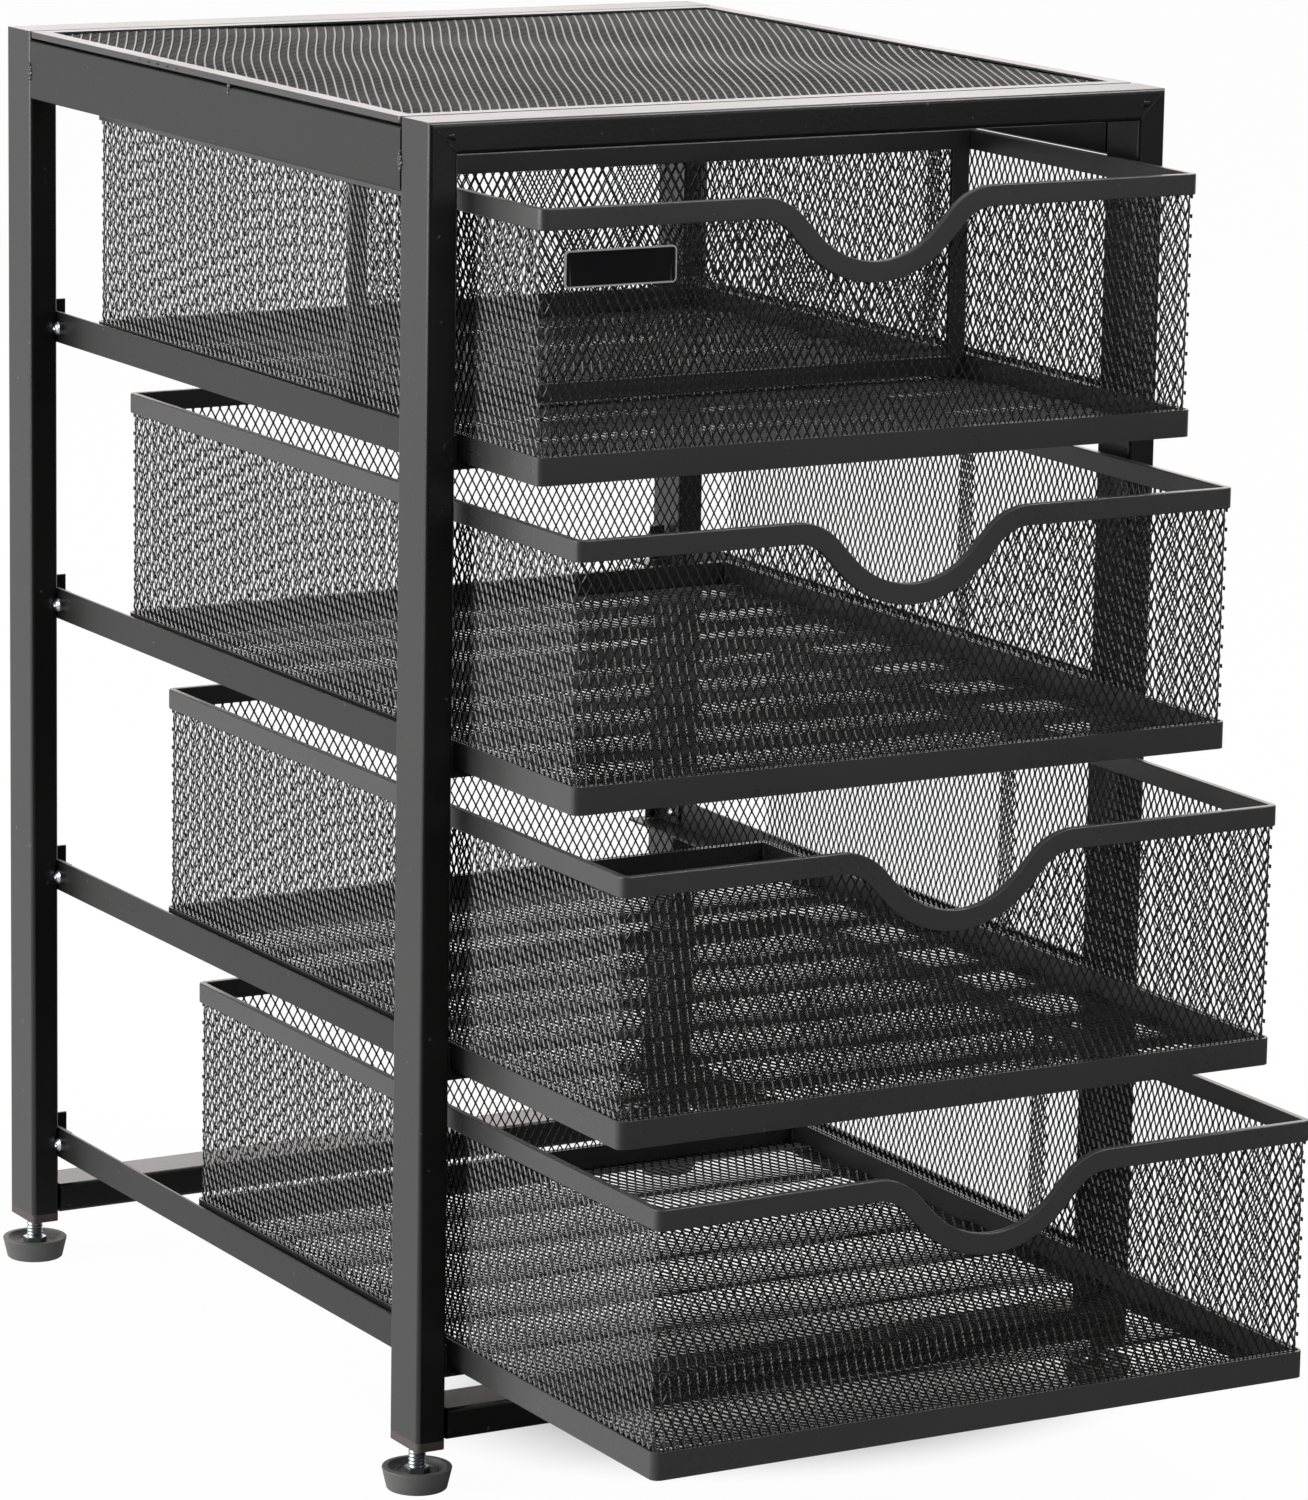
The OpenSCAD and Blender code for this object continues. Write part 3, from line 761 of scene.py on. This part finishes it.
def turned(name, points, steps=48):
    # a closed outline in millimetres, spun about the upright axis
    bpy.ops.mesh.primitive_circle_add(vertices=len(points), radius=1)
    piece = bpy.context.object
    piece.name = name
    for vertex, (r, z) in zip(piece.data.vertices, points):
        vertex.co = Vector((r * mm, 0, z * mm))
    only(piece)
    bpy.ops.object.mode_set(mode="EDIT")
    bpy.ops.mesh.select_all(action="SELECT")
    bpy.ops.mesh.spin(steps=steps, angle=math.radians(360), center=(0, 0, 0), axis=(0, 0, 1))
    bpy.ops.mesh.select_all(action="SELECT")
    bpy.ops.mesh.remove_doubles(threshold=0.000005)
    bpy.ops.mesh.dissolve_degenerate(threshold=0.000001)
    bpy.ops.mesh.normals_make_consistent(inside=False)
    bpy.ops.object.mode_set(mode="OBJECT")
    return piece


def footStem():
    f = foot
    points = [(0, f["stemFoot"]), (f["threadRoot"], f["stemFoot"])]
    z = f["stemFoot"] + f["threadLead"]
    while z < f["stemTop"] - f["threadPitch"]:
        points.append((f["threadRoot"], z))
        points += [(f["threadCrest"], z + f["threadPitch"] * share) for share in f["threadFlat"]]
        z += f["threadPitch"]
    points += [(f["threadRoot"], z), (f["stemPoint"], f["stemTop"]), (0, f["stemTop"])]
    stem = turned("foot_stem", points, 24)
    moved(stem, lambda x, y, z: (x, y, z + x * f["threadLean"] if z > f["leanFrom"] else z))
    smooth(stem, 50)
    wide, low, high = f["nut"]
    bpy.ops.mesh.primitive_cylinder_add(vertices=6, radius=wide / math.sqrt(3) * mm, depth=(high - low) * mm,
                                        location=(0, 0, (low + high) / 2 * mm))
    nut = bpy.context.object
    settle(nut)
    rounded(nut, f["nutEdge"])
    smooth(nut, 30)
    return joined([stem, nut], "foot_stem")


firstPad = turned("foot_pad", foot["padProfile"])
smooth(firstPad, 32)
firstStem = footStem()
for corner in ("front_left", "front_right", "rear_left", "rear_right"):
    pad, stem = copied(firstPad, "pad_" + corner), copied(firstStem, "stem_" + corner)
    low, high = box["foot_pad_" + corner]
    cx, cy = (low.x + high.x) / 2, (low.y + high.y) / 2
    for piece in (pad, stem):
        moved(piece, lambda x, y, z: (x + cx, y + cy, z))
    dressed(pad, "foot_" + corner, "rubber", "foot_pad_" + corner)
    dressed(stem, "foot_" + corner, "zinc", "foot_stem_" + corner)
    plug = nodeCopy("leg_plug_" + corner)
    rounded(plug, foot["plugEdge"])
    smooth(plug, 40)
    dressed(plug, "frame", "plug", "leg_plug_" + corner)
bpy.data.objects.remove(firstPad)
bpy.data.objects.remove(firstStem)
print("feet made")


# ---- label plate ----

plate = {"edge": 0.16 * mm, "border": 0.55 * mm, "step": 0.12 * mm, "sunk": 0.14 * mm}


def labelPlate():
    piece = nodeCopy("drawer_1_label_plate")
    rounded(piece, plate["edge"])
    only(piece)
    bpy.ops.object.mode_set(mode="EDIT")
    bpy.ops.mesh.select_mode(type="FACE")
    bpy.ops.mesh.select_all(action="DESELECT")
    bpy.ops.object.mode_set(mode="OBJECT")
    biggest = max((face for face in piece.data.polygons if face.normal.y < -0.9), key=lambda face: face.area)
    biggest.select = True
    bpy.ops.object.mode_set(mode="EDIT")
    bpy.ops.mesh.inset(thickness=plate["border"], depth=0)
    bpy.ops.mesh.inset(thickness=plate["step"], depth=-plate["sunk"])
    bpy.ops.object.mode_set(mode="OBJECT")
    smooth(piece, 25)
    return dressed(piece, "drawer_1", "plate", "drawer_1_label_plate")


labelPlate()
print("label plate made")


# ---- stage and light ----

studio = {
    "shade": 0.04,          # what gloss sees in front of the object, where the studio is dark
    "nearEdge": 0.05,       # from here back the floor turns pale for gloss
    "farEdge": 0.45,
    "leftEdge": 0.125,      # further to the left than this it is pale nearly all along
    "leftRise": 40,
    "leftGain": 0.55,
    "skyEdges": (-0.35, 0.15),      # between these the world turns pale for gloss
    "ambient": 0.35,
    "dimAt": (0.035, -0.04, 0),     # under the lowest drawer the white glow is painted down, a painted shade, and there the camera sees the lit floor and its real shadow
    "dimSize": (0.15, 0.11, 1),
    "dimGlow": (0.2, 0.975),        # how much of the white glow is left there, and everywhere else
    "floorSize": 14,
    "aim": (0, 0, 0.22),
}


def smoothStep(board, value, low, high):
    return board.node("ShaderNodeMapRange", {"interpolation_type": "SMOOTHSTEP"},
                      {"Value": value, "From Min": low, "From Max": high, "To Min": studio["shade"]})


def stageMaterial():
    # white to the camera, pale to gloss behind the object, and it keeps the shadow; under the object the glow
    # is painted down in a patch, a painted shade round the real shadow
    board = Board(bpy.data.materials.new("floor_white"))
    rays = board.tree.nodes.new("ShaderNodeLightPath")
    parts = board.tree.nodes.new("ShaderNodeSeparateXYZ")
    board.feed(parts.inputs[0], board.coords)
    left = (Wire(board, parts.outputs["X"]) * -1 - studio["leftEdge"]) * studio["leftRise"]
    back = Wire(board, parts.outputs["Y"]) + left.clipped() * studio["leftGain"]
    pale = smoothStep(board, back, studio["nearEdge"], studio["farEdge"])
    seen = Wire(board, rays.outputs["Is Camera Ray"]) + Wire(board, rays.outputs["Is Transmission Ray"])
    mirrored = Wire(board, rays.outputs["Is Glossy Ray"])
    glow = board.node("ShaderNodeEmission", {}, {
        "Color": (1, 1, 1, 1), "Strength": mirrored * (pale - 1) + 1})
    board.surface(Base_Color=(0.80, 0.80, 0.80, 1), Roughness=0.9)
    # a patch under the object where the white glow is painted down: painted shade, inside which the floor's
    # real shadow shows
    under = board.node("ShaderNodeVectorMath", {"operation": "SUBTRACT"},
                       {0: board.coords, 1: studio["dimAt"]})
    under = board.node("ShaderNodeVectorMath", {"operation": "DIVIDE"}, {0: under, 1: studio["dimSize"]})
    reach = board.node("ShaderNodeVectorMath", {"operation": "LENGTH"}, {0: under}, "Value")
    lit = board.node("ShaderNodeMapRange", {"interpolation_type": "SMOOTHSTEP"},
                     {"Value": reach, "From Min": 0.5, "From Max": 1.0,
                      "To Min": studio["dimGlow"][0], "To Max": studio["dimGlow"][1]})
    blend = board.node("ShaderNodeMixShader", {}, {
        0: seen.clipped() * lit + mirrored, 1: Wire(board, board.shader.outputs[0]), 2: glow})
    board.feed(board.tree.nodes["Material Output"].inputs["Surface"], blend)
    return board.material


bpy.ops.object.select_all(action="DESELECT")
bpy.ops.mesh.primitive_plane_add(size=studio["floorSize"], location=(0, 0, 0))
ground = bpy.context.object
ground.name = "studio_floor"
ground.data.materials.append(stageMaterial())


def lightWorld():
    world = bpy.data.worlds.new("studio")
    bpy.context.scene.world = world
    board = Board(world, "Generated")
    rays = board.tree.nodes.new("ShaderNodeLightPath")
    parts = board.tree.nodes.new("ShaderNodeSeparateXYZ")
    board.feed(parts.inputs[0], board.coords)
    pale = smoothStep(board, Wire(board, parts.outputs["Y"]), *studio["skyEdges"])
    seen = Wire(board, rays.outputs["Is Camera Ray"]) + Wire(board, rays.outputs["Is Transmission Ray"])
    seen = seen.clipped()
    mirrored = Wire(board, rays.outputs["Is Glossy Ray"])
    rest = (1 - seen - mirrored).clipped() * studio["ambient"]
    backdrop = board.tree.nodes["Background"]
    backdrop.inputs["Color"].default_value = (1, 1, 1, 1)
    board.feed(backdrop.inputs["Strength"], seen + mirrored * pale + rest)


lightWorld()

lamps = {
    "left_softbox": {"at": (-2.2, 0.6, 0.7), "size": (2.2, 1.0), "power": 62, "tint": (1, 1, 1)},
    "top_softbox": {"at": (-0.5, 0.3, 2.4), "size": (1.8, 1.8), "power": 9, "tint": (1, 1, 1)},
    "back_softbox": {"at": (1.0, 2.3, 1.05), "size": (3.0, 1.1), "power": 16, "tint": (1, 0.9, 0.88)},
    "front_fill": {"at": (0.8, -2.4, 1.1), "size": (1.4, 1.4), "power": 11, "tint": (1, 1, 1)},
    "edge_softbox": {"at": (1.2, -0.6, 2.3), "size": (0.7, 0.7), "power": 26, "tint": (1, 1, 1)},
}
for name, lamp in lamps.items():
    bpy.ops.object.light_add(type="AREA", location=lamp["at"])
    light = bpy.context.object
    light.name = name
    light.data.shape = "RECTANGLE"
    light.data.size, light.data.size_y = lamp["size"]
    light.data.energy = lamp["power"]
    light.data.color = lamp["tint"]
    aim = Vector(studio["aim"]) - Vector(lamp["at"])
    light.rotation_euler = aim.to_track_quat("-Z", "Y").to_euler()
bpy.context.scene.view_settings.view_transform = "Standard"
print("stage lit")

bpy.context.view_layer.update()
